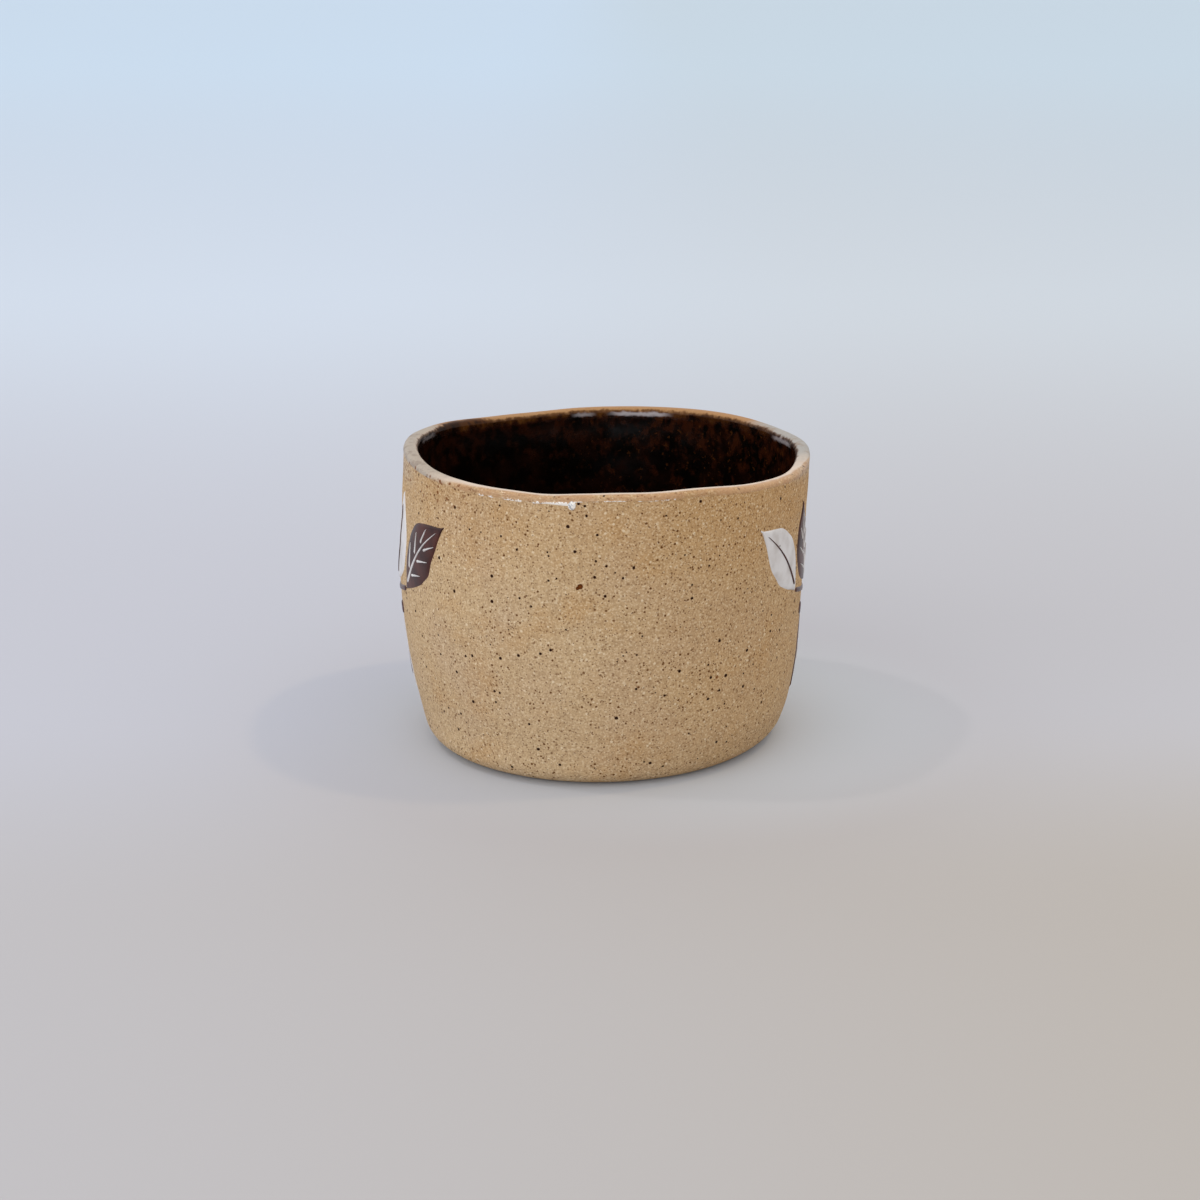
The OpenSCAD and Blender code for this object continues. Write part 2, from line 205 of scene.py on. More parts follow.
class Value:
    """A socket of a finish. Arithmetic on a number that varies adds Math nodes."""

    def __init__(self, finish, socket):
        self.finish = finish
        self.socket = socket

    def beside(self, output):
        """Another output of the same node."""
        return Value(self.finish, self.socket.node.outputs[output])

    def math(self, operation, *others):
        """The result of a Math node on this value and others."""
        sockets = dict(enumerate((self, *others)))
        return self.finish.node("ShaderNodeMath", {"operation": operation}, sockets)

    def __add__(self, other):
        return self.math("ADD", other)

    def __sub__(self, other):
        return self.math("SUBTRACT", other)

    def __rsub__(self, other):
        return self.math("MULTIPLY", -1).math("ADD", other)

    def __mul__(self, other):
        return self.math("MULTIPLY", other)

    def __truediv__(self, other):
        return self.math("DIVIDE", other)

    __radd__ = __add__
    __rmul__ = __mul__


class Nodes:
    """A tree of shader nodes."""

    def __init__(self, tree):
        self.tree = tree

    def node(self, kind, settings, sockets, output=0):
        """Adds a node: its settings first, then the values or links of its sockets."""
        node = self.tree.nodes.new(kind)
        for name, setting in settings.items():
            setattr(node, name, setting)
        for key, value in sockets.items():
            if isinstance(value, Value):
                self.tree.links.new(value.socket, node.inputs[key])
            else:
                node.inputs[key].default_value = value
        return Value(self, node.outputs[output])


class Finish(Nodes):
    """A material with one Principled shader, whose steady values are set on its own sockets."""

    def __init__(self, name, steady):
        self.material = bpy.data.materials.new(name)
        self.material.use_nodes = True
        super().__init__(self.material.node_tree)
        self.shader = self.tree.nodes["Principled BSDF"]
        for socket, value in steady.items():
            self.shader.inputs[socket].default_value = value

    def feed(self, sockets):
        """Links what varies over the surface to the shader."""
        for name, value in sockets.items():
            self.tree.links.new(value.socket, self.shader.inputs[name])


def colour(red, green, blue):
    """A colour as seen, each part from 0 to 255, in the shader's linear values."""
    parts = [part / 255 for part in (red, green, blue)]
    linear = [p / 12.92 if p <= 0.04045 else ((p + 0.055) / 1.055) ** 2.4 for p in parts]
    return (*linear, 1)


def in_mm(finish, stretch=(1, 1, 1)):
    """Place on the piece in millimetres, stretched along the axes."""
    place = finish.node("ShaderNodeTexCoord", {}, {}, "Object")
    scale = [s / MM for s in stretch]
    return finish.node("ShaderNodeMapping", {}, {"Vector": place, "Scale": scale})


def along(place, axis):
    """How far along X, Y or Z a place lies."""
    return place.finish.node("ShaderNodeSeparateXYZ", {}, {0: place}, axis)


def clouds(place, size, detail=2.0):
    """Soft noise from 0 to 1, with features of that size."""
    sockets = {"Vector": place, "Scale": 1 / size, "Detail": detail}
    return place.finish.node("ShaderNodeTexNoise", {}, sockets)


def step(value, low, high):
    """0 at low, 1 at high and a soft slope between. Low may be the larger one."""
    settings = {"interpolation_type": "SMOOTHSTEP"}
    sockets = {"Value": value, "From Min": low, "From Max": high}
    return value.finish.node("ShaderNodeMapRange", settings, sockets)


def lay(mask, under, over, way="MIX"):
    """A colour laid over another where the mask is 1."""
    settings = {"data_type": "RGBA", "blend_type": way}
    return mask.finish.node("ShaderNodeMix", settings, {0: mask, 6: under, 7: over}, 2)


def bump(height, depth, strength):
    """The surface raised by depth where height is 1."""
    sockets = {"Height": height, "Distance": depth * MM, "Strength": strength}
    return height.finish.node("ShaderNodeBump", {}, sockets)


def away_from(place, middle):
    """Distance of a place from a point."""
    sockets = {0: place, 1: middle}
    return place.finish.node("ShaderNodeVectorMath", {"operation": "DISTANCE"}, sockets, "Value")


def specks(place, grains):
    """Grains from half to one and a half times their mean radius, with soft edges."""
    cell, radius, share = grains
    distance = place.finish.node("ShaderNodeTexVoronoi", {}, {"Vector": place, "Scale": 1 / cell})
    draw = place.finish.node("ShaderNodeSeparateColor", {}, {0: distance.beside("Color")})
    size = (0.5 + draw.beside(1)) * (radius / cell)
    return draw.math("LESS_THAN", share) * step(distance / size, 1.15, 0.7)


BUFF = colour(195, 165, 126)
BUFF_GREY = colour(189, 160, 127)
BUFF_WARM = colour(186, 144, 93)
GRAIN_PALE = colour(222, 200, 166)
GRAIN_BROWN = colour(92, 51, 10)
IRON_BLACK = colour(40, 13, 1)
IRON_RUST = colour(112, 58, 8)
RUST_EDGE = colour(78, 34, 1)
GLAZE_SMEAR_AND_SHEEN = colour(186, 171, 152)
# Grains: side of the cube that holds at most one, mean radius, and share of the cubes that hold one
GRAINS_PALE = (1.3, 0.22, 0.6)
GRAINS_FAINT = (0.55, 0.13, 0.75)
GRAINS_BROWN = (0.9, 0.2, 0.65)
GRAINS_BLACK = (1.95, 0.28, 0.5)
GRAINS_RUST = (11, 0.42, 0.25)
# Rust that bled out below the lip on the left
GRAINS_BLED = (1.25, 0.3, 0.9)
# Size of the jags on the grains' edges, and how far they reach
JAG_SIZE = 0.45
JAG_REACH = 0.22
# The one large rust spot on the front, two grains that ran together: middle and radius of each
RUST_SPOT = (((-4.6, -44.6, 46.0), 0.72), ((-5.2, -44.6, 45.6), 0.48))


def clay_look(place):
    """The fired clay's colour, some painted light in it, and its fine relief from 0 to 1, at a place in
    millimetres.
    """
    finish = place.finish
    jags = finish.node("ShaderNodeTexNoise", {}, {"Vector": place, "Scale": 1 / JAG_SIZE}, "Color")
    nudge = {0: jags, 1: [JAG_REACH] * 3, 2: place}
    ragged = finish.node("ShaderNodeVectorMath", {"operation": "MULTIPLY_ADD"}, nudge)
    # Soft clouds of greyer and of warmer clay, warmer towards the lip, and warmer to the right as
    # painted warm light from that side
    body = lay(step(clouds(place, 17), 0.42, 0.68) * 0.6, BUFF, BUFF_GREY)
    body = lay(step(clouds(place, 11, 3), 0.5, 0.75) * 0.5, body, BUFF_WARM)
    x = along(place, "X")
    z = along(place, "Z")
    near_lip = step(z, CUP_H - 26, CUP_H - 2)
    body = lay(near_lip * 0.35 + step(x, -15, 32) * 0.45, body, BUFF_WARM)
    # A pale smear of glaze with painted sheen just below the lip at the far left and right
    smear_and_sheen = step(z + clouds(place, 3) * 4, CUP_H - 4, CUP_H) * step(x.math("ABSOLUTE"), 38, 44)
    body = lay(smear_and_sheen * 0.65, body, GLAZE_SMEAR_AND_SHEEN)
    # The fine grain of the fired clay
    mottle = clouds(place, 1.3, 3)
    grain = clouds(place, 0.42)
    body = lay(step(mottle, 0.55, 0.35) * 0.12 + step(grain, 0.55, 0.3) * 0.24, body, GRAIN_BROWN)
    body = lay(step(grain, 0.52, 0.68) * 0.5, body, GRAIN_PALE)
    # Single grains, the brown ones in clusters
    clusters = step(clouds(place, 6), 0.3, 0.6)
    pale = specks(ragged, GRAINS_PALE)
    faint = specks(ragged, GRAINS_FAINT)
    brown = specks(ragged, GRAINS_BROWN) * (0.4 + 0.6 * clusters)
    black = specks(ragged, GRAINS_BLACK)
    bled = specks(ragged, GRAINS_BLED) * step(near_lip, 0.9, 1) * step(x, -22, -34)
    rust = specks(ragged, GRAINS_RUST).math("MAXIMUM", bled * 0.9)
    body = lay(pale * 0.75, body, GRAIN_PALE)
    body = lay(faint * 0.65, body, GRAIN_BROWN)
    body = lay(brown * 0.95, body, GRAIN_BROWN)
    body = lay(black, body, IRON_BLACK)
    body = lay(rust * 0.95, body, IRON_RUST)
    for middle, radius in RUST_SPOT:
        away = away_from(ragged, middle)
        body = lay(step(away, radius * 1.12, radius * 0.88), body, RUST_EDGE)
        body = lay(step(away, radius * 0.95, radius * 0.45), body, IRON_RUST)
    relief = grain * 0.5 + mottle * 0.4 - black * 0.25
    return body, relief


bare_clay = Finish("bare_clay", {"IOR": 1.45, "Specular IOR Level": 0.15})
clay_colour, clay_relief = clay_look(in_mm(bare_clay))
bare_clay.feed({
    "Base Color": clay_colour,
    "Roughness": 0.92 - clay_relief * 0.3,
    "Normal": bump(clay_relief, 0.14, 0.7),
})

under_edge = arc((FLAT_R, EDGE_R), EDGE_R, -90, -math.degrees(LEAN), EDGE_STEPS)
floor_outline = [
    (0, 0), (FLAT_R / 3, 0), (FLAT_R * 2 / 3, 0),
    *under_edge,
    (FOOT_R - WALL_T, FLOOR_T), (0, FLOOR_T),
]
floor_form = turn(floor_outline, closed=False)
hand_form(floor_form)
piece("clay_floor", floor_form, bare_clay, "stoneware", "floor_slab")


# Wall slab
# A strip of the same clay, rolled out, mitred, closed into a ring at the back and luted to the floor
# with slip. It was thinned and rounded at the lip, and dented a little by the fingers that held it.

# Thickness of the lip, height of its rounding, and its corners: 1 for an ellipse, less for fuller ones
LIP_T = 2.8
LIP_H = 0.9
LIP_CORNER = 0.75
LIP_Z = CUP_H - LIP_H
# Height below the lip over which the wall thins
THIN_H = 22
WALL_ROWS = 56
WALL_LIP_STEPS = 20


def wall_thickness(z):
    """Thickness of the clay at height z."""
    return LIP_T + (WALL_T - LIP_T) * ease((LIP_Z - z) / THIN_H)


def inner_r(z):
    """Inside radius of the clay of an even cup at height z."""
    return mean_r(z) - wall_thickness(z)


def over_lip(grow, steps):
    """Points from the outside of the lip over its top to the inside, that far off the clay."""
    points = []
    for i in range(steps + 1):
        turned_by = math.pi * i / steps
        across = math.copysign(abs(math.cos(turned_by)) ** LIP_CORNER, math.cos(turned_by))
        up = abs(math.sin(turned_by)) ** LIP_CORNER
        r = mean_r(LIP_Z) - LIP_T / 2 + (LIP_T / 2 + grow) * across
        points.append((r, LIP_Z + (LIP_H + grow) * up))
    return points


wall_heights = [FLOOR_T + (LIP_Z - FLOOR_T) * i / WALL_ROWS for i in range(WALL_ROWS + 1)]
wall_outline = [
    *[(mean_r(z), z) for z in wall_heights[:-1]],
    *over_lip(0, WALL_LIP_STEPS),
    *[(inner_r(z), z) for z in reversed(wall_heights[:-1])],
]
wall_form = turn(wall_outline)
hand_form(wall_form)
piece("clay_wall", wall_form, bare_clay, "stoneware", "wall_slab", "seam_slip", "foot_slip")


# Corner coil
# A thin coil of the same clay, pressed into the corner between wall and floor to close the joint and
# smoothed with a finger to a hollow round. The liner glaze covers it.

# Radius of the hollow
COIL_R = 6
COIL_STEPS = 16
coil_z = FLOOR_T + COIL_R


def coil_face(grow):
    """Points from the floor up the coil's hollow face to the wall, that far off the clay."""
    hollow = arc((-WALL_T - COIL_R, coil_z), COIL_R - grow, -90, 0, COIL_STEPS)
    return [(mean_r(z) + from_outside, z) for from_outside, z in hollow]


coil_back = [(inner_r(z), z) for r, z in reversed(coil_face(0)[:-1])]
coil_form = turn([*coil_face(0), *coil_back])
hand_form(coil_form)
piece("clay_coil", coil_form, bare_clay, "stoneware", "corner_coil")


# Liner glaze
# A dark iron glaze poured in, swilled round and poured out again. It covers the whole inside, runs
# thick and nearly black at the bottom, and breaks to rust and amber in runs where it thins at the lip.

LINER_T = 0.5
# The glaze ends this far below the top of the lip
LINER_DROP = 1.4
LINER_Z = CUP_H - LINER_DROP
# Height over which the glaze thins to its upper edge, and what is left there
LINER_FADE_H = 7
LINER_EDGE_T = 0.25
# Its back lies this far in the clay, so that no gap shows at its edge
LINER_SUNK = 0.02
LINER_ROWS = 40
LINER_RINGS = 6


def liner_r(z):
    """Radius of the liner's glossy face on an even cup at height z."""
    full = ease((LINER_Z - z) / LINER_FADE_H)
    return inner_r(z) - LINER_EDGE_T - (LINER_T - LINER_EDGE_T) * full


liner_heights = [coil_z + (LINER_Z - coil_z) * i / LINER_ROWS for i in range(1, LINER_ROWS + 1)]
liner_floor = [(FOOT_R - WALL_T - COIL_R) * i / LINER_RINGS for i in range(LINER_RINGS)]
liner_outline = [
    *[(r, FLOOR_T + LINER_T) for r in liner_floor],
    *coil_face(LINER_T),
    *[(liner_r(z), z) for z in liner_heights],
    *[(inner_r(z) + LINER_SUNK, z) for z in reversed(liner_heights)],
    *reversed(coil_face(0)),
    (0, FLOOR_T),
]

LINER_BLACK = colour(4, 2, 1)
LINER_RED = colour(22, 7, 3)
LINER_BROWN = colour(48, 19, 6)
LINER_RUST = colour(66, 34, 9)
LINER_AMBER = colour(92, 54, 20)
# Width of the runs in the glaze, and their width over their length
RUN_W = 1.0
RUN_DRAWN = 0.35


def liner_look(place, below):
    """The dark glaze's colour and its runs from 0 to 1, at a place that far below the glaze's edge."""
    runs = clouds(in_mm(place.finish, (1, 1, RUN_DRAWN)), RUN_W, 3)
    broken = clouds(place, 2.4, 3) * 0.75 + runs * 0.25 + step(below, 14, 0) * 0.12
    right = step(along(place, "X"), -24, 22)
    flecks = step(clouds(place, 1.1), 0.62, 0.72) * right * step(below, 32, 10)
    glaze = lay(step(clouds(place, 6, 3), 0.42, 0.7), LINER_BLACK, LINER_RED)
    glaze = lay(step(broken, 0.52, 0.72) * (0.4 + 0.4 * right), glaze, LINER_BROWN)
    glaze = lay(flecks * 0.7, glaze, LINER_RUST)
    # Towards the edge at the back it thins, first to brown and then to amber
    at_back = step(along(place, "Y"), 12, 30) * (0.35 + 0.65 * step(clouds(place, 6), 0.42, 0.62))
    depth = below - (broken - 0.62) * 7
    glaze = lay(step(depth, 1.9, 0.1) * at_back * 0.8, glaze, LINER_BROWN)
    glaze = lay(step(depth, 0.7, -0.9) * at_back * 0.85, glaze, LINER_AMBER)
    return glaze, runs


dark_liner = Finish("dark_liner", {"IOR": 1.5, "Specular IOR Level": 0.22})
liner_place = in_mm(dark_liner)
below_edge = dark_liner.node("ShaderNodeAttribute", {"attribute_name": "mark"}, {}, "Fac")
liner_colour, liner_runs = liner_look(liner_place, below_edge)
dark_liner.feed({
    "Base Color": liner_colour,
    "Roughness": 0.1 + clouds(liner_place, 2.5) * 0.12,
    "Normal": bump(clouds(liner_place, 3.2) + liner_runs * 0.25, 0.12, 0.3),
})
liner_form = turn(liner_outline, closed=False, marks=[LINER_Z - z for r, z in liner_outline])
hand_form(liner_form)
piece("liner_gloss", liner_form, dark_liner, "liner_glaze", "liner_glaze")


# Rim glaze
# A clear glaze brushed over the lip. The clay shows through it, pinker than where it is bare. The
# glaze drew together into a white bead along its lower edge, and one drop hangs from that at the front.

CLEAR_T = 0.07
# Its lower edge lies this far below the top of the lip
CLEAR_DROP = 1.5
# How far the clear glaze reaches over the dark one inside, and how far it stands off that
CLEAR_INSIDE = 1
CLEAR_OVER = 0.01
# Its underside lies this far in the clay
CLEAR_SUNK = 0.05
# Waves of its lower edge: times round, size, where the crest is in degrees
GLAZE_EDGE = ((4, 0.1, 30), (7, 0.12, 100), (13, 0.06, 200))
# The bead: its thickness, and how far it runs to the left and the right of the drop
BEAD_T = 0.16
BEAD_LEFT = 25
BEAD_RIGHT = 24
# Length of its breaks, and the share of its reach over which it fades
BEAD_RUN = 2.1
BEAD_FADE = 0.25
# The drop, whose middle hangs this share of its height below the edge
DROP_ANGLE = math.radians(262)
DROP_W = 1.6
DROP_H = 1.9
DROP_T = 0.45
DROP_HANG = 0.2
# The white wedge that runs into the drop from the left: its length and its depth at the drop
WEDGE_L = 5
WEDGE_H = 0.8
# What the wedge adds to the bead's mark, and the mark of the drop
WEDGE_MARK = 0.4
DROP_MARK = 2
SKIRT_ROWS = 6
LIP_STEPS = 28
UNDER_STEPS = 14
# The last points over the lip give way to the rows inside
LIP_CUT = 3

clear_edge_z = CUP_H - CLEAR_DROP
skirt = [clear_edge_z + (LIP_Z - clear_edge_z) * i / SKIRT_ROWS for i in range(SKIRT_ROWS)]
lip_face = over_lip(CLEAR_T, LIP_STEPS)[:-LIP_CUT]
inside_heights = [
    LIP_Z, (LIP_Z + LINER_Z) / 2, LINER_Z, LINER_Z - CLEAR_INSIDE * 0.4, LINER_Z - CLEAR_INSIDE,
]
# The skirt comes out of the clay at its lower edge and has its full thickness where the lip begins
rim_face = [
    *[(mean_r(z) + CLEAR_T * (2 * ease((i + 1) / SKIRT_ROWS) - 1), z) for i, z in enumerate(skirt)],
    *lip_face,
    *[(liner_r(z) - CLEAR_OVER, z) for z in inside_heights],
]
# How far over the lip: 0 at the lower edge outside, 1 where it curves, 2 on its top, 3 and on inside
over_marks = [
    *[i / SKIRT_ROWS for i in range(SKIRT_ROWS)],
    *[1 + 2 * i / LIP_STEPS for i in range(len(lip_face))],
    *[3 + LIP_Z - z for z in inside_heights],
]
liner_edge_mark = 3 + LIP_Z - LINER_Z
rim_under = [
    (inner_r(LINER_Z), LINER_Z - CLEAR_INSIDE),
    *reversed(over_lip(-CLEAR_SUNK, UNDER_STEPS)),
]


def wedge_at(angle):
    """1 along the wedge to the left of the drop, fading beyond its ends."""
    right_of_drop = (angle - DROP_ANGLE) * RIM_R
    return ease(2 - abs(right_of_drop + WEDGE_L / 2) / (WEDGE_L / 2))


def bead_at(angle):
    """How full the bead is at this angle, from 0 to 1. It is broken into short runs."""
    right_of_drop = (angle - DROP_ANGLE) * RIM_R
    reach = BEAD_RIGHT if right_of_drop > 0 else BEAD_LEFT
    near = 1 - abs(right_of_drop) / reach
    long_runs = noise.noise(Vector((right_of_drop / BEAD_RUN, 3, 0)))
    short_runs = noise.noise(Vector((right_of_drop, 5, 0)))
    broken = ease(0.2 + 0.7 * near + 1.6 * (long_runs + 0.6 * short_runs))
    return max(ease(near / BEAD_FADE) * broken, wedge_at(angle))


def lower_edge(angle):
    """How far the glaze's lower edge lies below its mean height at this angle."""
    left_of_drop = (DROP_ANGLE - angle) * RIM_R
    wedge = WEDGE_H * (1 - left_of_drop / WEDGE_L) if 0 <= left_of_drop < WEDGE_L else 0
    return wedge - waves(GLAZE_EDGE, angle)


rim_form = turn([*rim_face, *rim_under], marks=over_marks)
over_layer = rim_form.verts.layers.float["mark"]
bead_layer = rim_form.verts.layers.float.new("bead")
for point in rim_form.verts:
    x, y, z = point.co
    r = math.hypot(x, y)
    if z < LIP_Z and r > mean_r(LIP_Z) - LIP_T / 2:
        angle = math.atan2(y, x) % (2 * math.pi)
        full = bead_at(angle)
        across = 2 * point[over_layer] - 1
        point[bead_layer] = (full + WEDGE_MARK * wedge_at(angle)) * (1 - point[over_layer])
        point.co.xy *= 1 + full * BEAD_T * (1 - across * across) / r
        point.co.z -= (LIP_Z - z) / (LIP_Z - clear_edge_z) * lower_edge(angle)
drop_z = clear_edge_z - DROP_H * DROP_HANG
drop_shape = (
    Matrix.Rotation(DROP_ANGLE, 4, "Z")
    @ Matrix.Translation((mean_r(drop_z), 0, drop_z))
    @ Matrix.Diagonal((DROP_T, DROP_W / 2, DROP_H / 2, 1))
)
drop = bmesh.ops.create_uvsphere(rim_form, u_segments=28, v_segments=16, radius=1, matrix=drop_shape)
for point in drop["verts"]:
    point[bead_layer] = DROP_MARK
hand_form(rim_form)

PEACH = colour(176, 132, 94)
PEACH_SHEEN = colour(205, 160, 118)
LIP_PALE = colour(168, 157, 145)
LIP_COOL = colour(160, 158, 154)
LIP_GREY = colour(146, 134, 124)
LIP_HIGHLIGHT = colour(214, 194, 175)
LIP_TAN = colour(162, 118, 76)
MILKY_SHEEN = colour(188, 177, 176)
BEAD_GLINT_WHITE = colour(240, 232, 222)
BEAD_GREY = colour(168, 168, 170)
# Milky pools where the clear glaze ran over the dark one inside the lip, partly painted reflections on
# the glossy edge: middle, radius, how white
SHEEN_POOLS = (
    ((9, 43, 63), 9, 0.8), ((-5, 44, 63), 4, 0.5), ((41, 13, 63), 6, 0.5), ((-41, 14, 63), 6, 0.3),
)
# Rust that came through the clear glaze at the left: cube, mean radius and share, as the clay's grains
FRECKLES = (1.1, 0.36, 0.85)

clear_glaze = Finish("clear_glaze", {"IOR": 1.5, "Specular IOR Level": 0.12, "Coat Roughness": 0.12})
rim_place = in_mm(clear_glaze)
over = clear_glaze.node("ShaderNodeAttribute", {"attribute_name": "mark"}, {}, "Fac")
bead = clear_glaze.node("ShaderNodeAttribute", {"attribute_name": "bead"}, {}, "Fac")
under_glaze, under_relief = clay_look(rim_place)
rim_x = along(rim_place, "X")
rim_y = along(rim_place, "Y")
drift = clouds(rim_place, 7) * 16 - 8
at_front = step(rim_y - rim_x * 0.3 + drift * 0.5, -13, -26)
at_back = step(rim_y + drift, 16, 28)
thin_coat = clouds(rim_place, 3, 3)
# The clay seen through the glaze below the lip, pinker at the front, and painted paler to the right of
# it as a painted sheen on the rounded lip
rim_colour = lay(step(over, 0.0, 0.8) * step(thin_coat, 0.3, 0.6) * 0.6 * at_front, under_glaze, PEACH)
right_front_sheen = step(rim_x + drift * 0.5, 18, 26) * step(rim_x, 40, 34)
rim_colour = lay(step(over, 0.2, 1.0) * right_front_sheen * 0.35, rim_colour, PEACH_SHEEN)
# The top of the lip: pale and mottled at the sides, a painted highlight line in front and on the left of
# the top, tan at the back
top_colour = lay(step(rim_x, 26, 36), LIP_PALE, LIP_COOL)
top_colour = lay(step(thin_coat, 0.52, 0.66), top_colour, LIP_GREY)
top_colour = lay(step(over, 2.1, 2.8) * step(rim_x, -10, -25) * 0.6, top_colour, LIP_HIGHLIGHT)
top_colour = lay(at_front, top_colour, LIP_HIGHLIGHT)
top_colour = lay(at_back, top_colour, LIP_TAN)
pale_from = 0.75 + at_front * (0.92 + 0.1 * step(rim_x, 20, 36)) + thin_coat * 0.3
soft_left = step(rim_x, -20, -34) * 0.6
on_top = step(over, pale_from - 0.1 - soft_left, pale_from + 0.15)
rim_colour = lay(on_top * 0.85, rim_colour, top_colour)
rust_freckles = specks(rim_place, FRECKLES) * step(rim_y, -2, -10) * step(over, 1.5, 1.1)
rim_colour = lay(rust_freckles * step(rim_x, -20, -32) * 0.9, rim_colour, IRON_RUST)
# Inside the lip the dark glaze shows, after a ragged line of amber
inner_glaze, rim_runs = liner_look(rim_place, over - liner_edge_mark)
bare_edge = step(rim_x + drift * 0.4, -25, -31) * step(rim_x, -43, -39) * at_back
inwards = over + rim_runs * 0.7 + clouds(rim_place, 1.5, 3) * 0.9
inwards = inwards + bare_edge * 0.8 - at_back * 0.05 - 0.45
rim_colour = lay(step(inwards, 2.8, 3.15) * 0.8, rim_colour, LINER_AMBER)
rim_colour = lay(step(inwards, 3.0, 3.4), rim_colour, inner_glaze)
# Milky glaze pools inside the lip, partly painted reflections
sheen_pools = 0
for middle, radius, white in SHEEN_POOLS:
    sheen_pools = sheen_pools + step(away_from(rim_place, middle), radius, radius * 0.5) * white
sheen_pool_edge = over + clouds(rim_place, 1.4, 3) * 0.9
sheen_pools = sheen_pools * step(sheen_pool_edge, 3.3, 3.7) * step(sheen_pool_edge, 4.6, 4.0)
rim_colour = lay(sheen_pools, rim_colour, MILKY_SHEEN)
# The white bead, wedge and drop, with painted glints broken along the bead, greyer in the middle of the
# drop
sparkle = clouds(rim_place, 0.5)
bead_glint_colour = lay(step(sparkle, 0.55, 0.4) * step(bead, 1.2, 1.6), BEAD_GLINT_WHITE, BEAD_GREY)
bead_and_glints = step(bead * 0.8 + sparkle * 2.2, 1.35, 1.58) * step(bead, 0.08, 0.25)
rim_colour = lay(bead_and_glints, rim_colour, bead_glint_colour)
rim_coat = step(bead, 0.1, 0.4) * 0.8 + at_front * step(over, 2.6, 2.2) * 0.25
rim_coat = rim_coat + step(over, 3.1, 3.5) * 0.3
clear_glaze.feed({
    "Base Color": rim_colour,
    "Roughness": 0.45 + under_relief * 0.25 - step(over, 2.9, 3.2) * 0.3,
    "Coat Weight": rim_coat,
    "Normal": bump(clouds(rim_place, 1.8) + under_relief * 0.8, 0.12, 0.6),
})
piece("lip_gloss", rim_form, clear_glaze, "clear_glaze", "rim_glaze")


# Painted sprigs
# A stem, pairs of leaves and round berries, brushed on each side in white and in dark brown before
# the cup was fired, each stroke a thin raised layer with the marks of the brush along it.

PAINT_T = 0.28
# A stroke's underside lies this far in the clay, so that no gap shows at its edge
PAINT_SUNK = 0.06
# Bare clay above and below the sprigs, across the front and on each side of the seam
BARE_TOP = 8
BARE_FOOT = 6
BARE_FRONT = math.radians(85)
STEM_GAP = 5
# A stem: its width, the share of it that is lost towards the end, how far it climbs and swings
STEM_W = 2
STEM_TAPER = 0.45
STEM_CLIMB = 6
STEM_SWING = 2.2
# Leaves: their width, how far they turn from the stem, how far they bow, half width of their tips
LEAF_PAIRS = 3
END_LEAF_L = 25
LEAF_W = 11.5
LEAF_SPREAD = math.radians(58)
END_LEAF_SPREAD = math.radians(30)
LEAF_BOW = 1.6
LEAF_TIP = 0.15
# Below 1 the first moves a leaf's widest place to its foot, above 1 the second draws out its points
LEAF_FULL = 0.85
LEAF_POINT = 1.2
# Clay left between one stroke and the next
STROKE_GAP = 0.9
# Distance of the first and of the last leaf from the two ends of the stem
FIRST_LEAF = 5
LAST_LEAF = 11
SIDES = {"left": 1, "right": -1}
# The hand shakes this often along a stroke, differently at its two edges and on the two sides
SHAKES = 6
EDGES_APART = 3
SIDES_APART = 7
# What is left of a stroke's thickness, and of its squared width where it is round, at the very ends
END_T = 0.25
END_W = 0.1
# The least half width that the slope at the ends goes by, and the share of a path used for its heading
END_LEAST = 0.5
AHEAD = 0.01
# Share of its length over which each end of the stem is rounded
STEM_END = 0.012

band_low = FLOOR_T + BARE_FOOT
band_high = CUP_H - BARE_TOP
end_leaf_reach = STROKE_GAP + END_LEAF_L * math.cos(END_LEAF_SPREAD)
stem_l = RIM_R * (math.pi - BARE_FRONT / 2) - STEM_GAP - end_leaf_reach
leaf_step = (stem_l - FIRST_LEAF - LAST_LEAF) / (2 * LEAF_PAIRS - 1)


def stem_point(s):
    """A point of a stem, s along it: mm round the wall from the back, and height."""
    swing = STEM_CLIMB * (s / stem_l - 0.5) + STEM_SWING * math.sin(2 * math.pi * s / stem_l)
    return Vector((STEM_GAP + s, (band_low + band_high) / 2 + swing))


def stem_slope(s):
    """Slope of the stem, as an angle."""
    return math.atan(stem_point(s + 0.5).y - stem_point(s - 0.5).y)


def turned(x, y, angle):
    """A step on the flat wall, turned by an angle."""
    return Vector((x * math.cos(angle) - y * math.sin(angle), x * math.sin(angle) + y * math.cos(angle)))


def leaf_at(k):
    """How far along the stem leaf k grows, counted from the end leaf, which is 0."""
    return stem_l - LAST_LEAF - leaf_step * (k - 1) if k else stem_l


def leaf_side(k):
    """1 for a leaf above the stem, -1 for one below it and for the end leaf."""
    return 1 if k % 2 else -1


def leaf_place(k):
    """Foot, direction, length and side of leaf k."""
    s = leaf_at(k)
    slope = stem_slope(s)
    up = leaf_side(k)
    if k == 0:
        return stem_point(s) + turned(STROKE_GAP, 0, slope), slope + END_LEAF_SPREAD, END_LEAF_L, up
    foot = stem_point(s) + turned(0, up * (STEM_W / 2 + STROKE_GAP), slope)
    heading = slope + up * LEAF_SPREAD
    edge = band_high if up > 0 else band_low
    return foot, heading, (edge - foot.y) / math.sin(heading), up


def leaf_point(k, t, c=0):
    """Point of leaf k at share t of its length, c to one side of its rib."""
    foot, heading, length, up = leaf_place(k)
    return foot + turned(length * t, c - up * LEAF_BOW * math.sin(math.pi * t), heading)


def leaf_half(t):
    """Half the width of a leaf at share t of its length."""
    along_leaf = min(max(t, 0), 1) ** LEAF_FULL
    return max(LEAF_TIP, LEAF_W / 2 * math.sin(math.pi * along_leaf) ** LEAF_POINT)


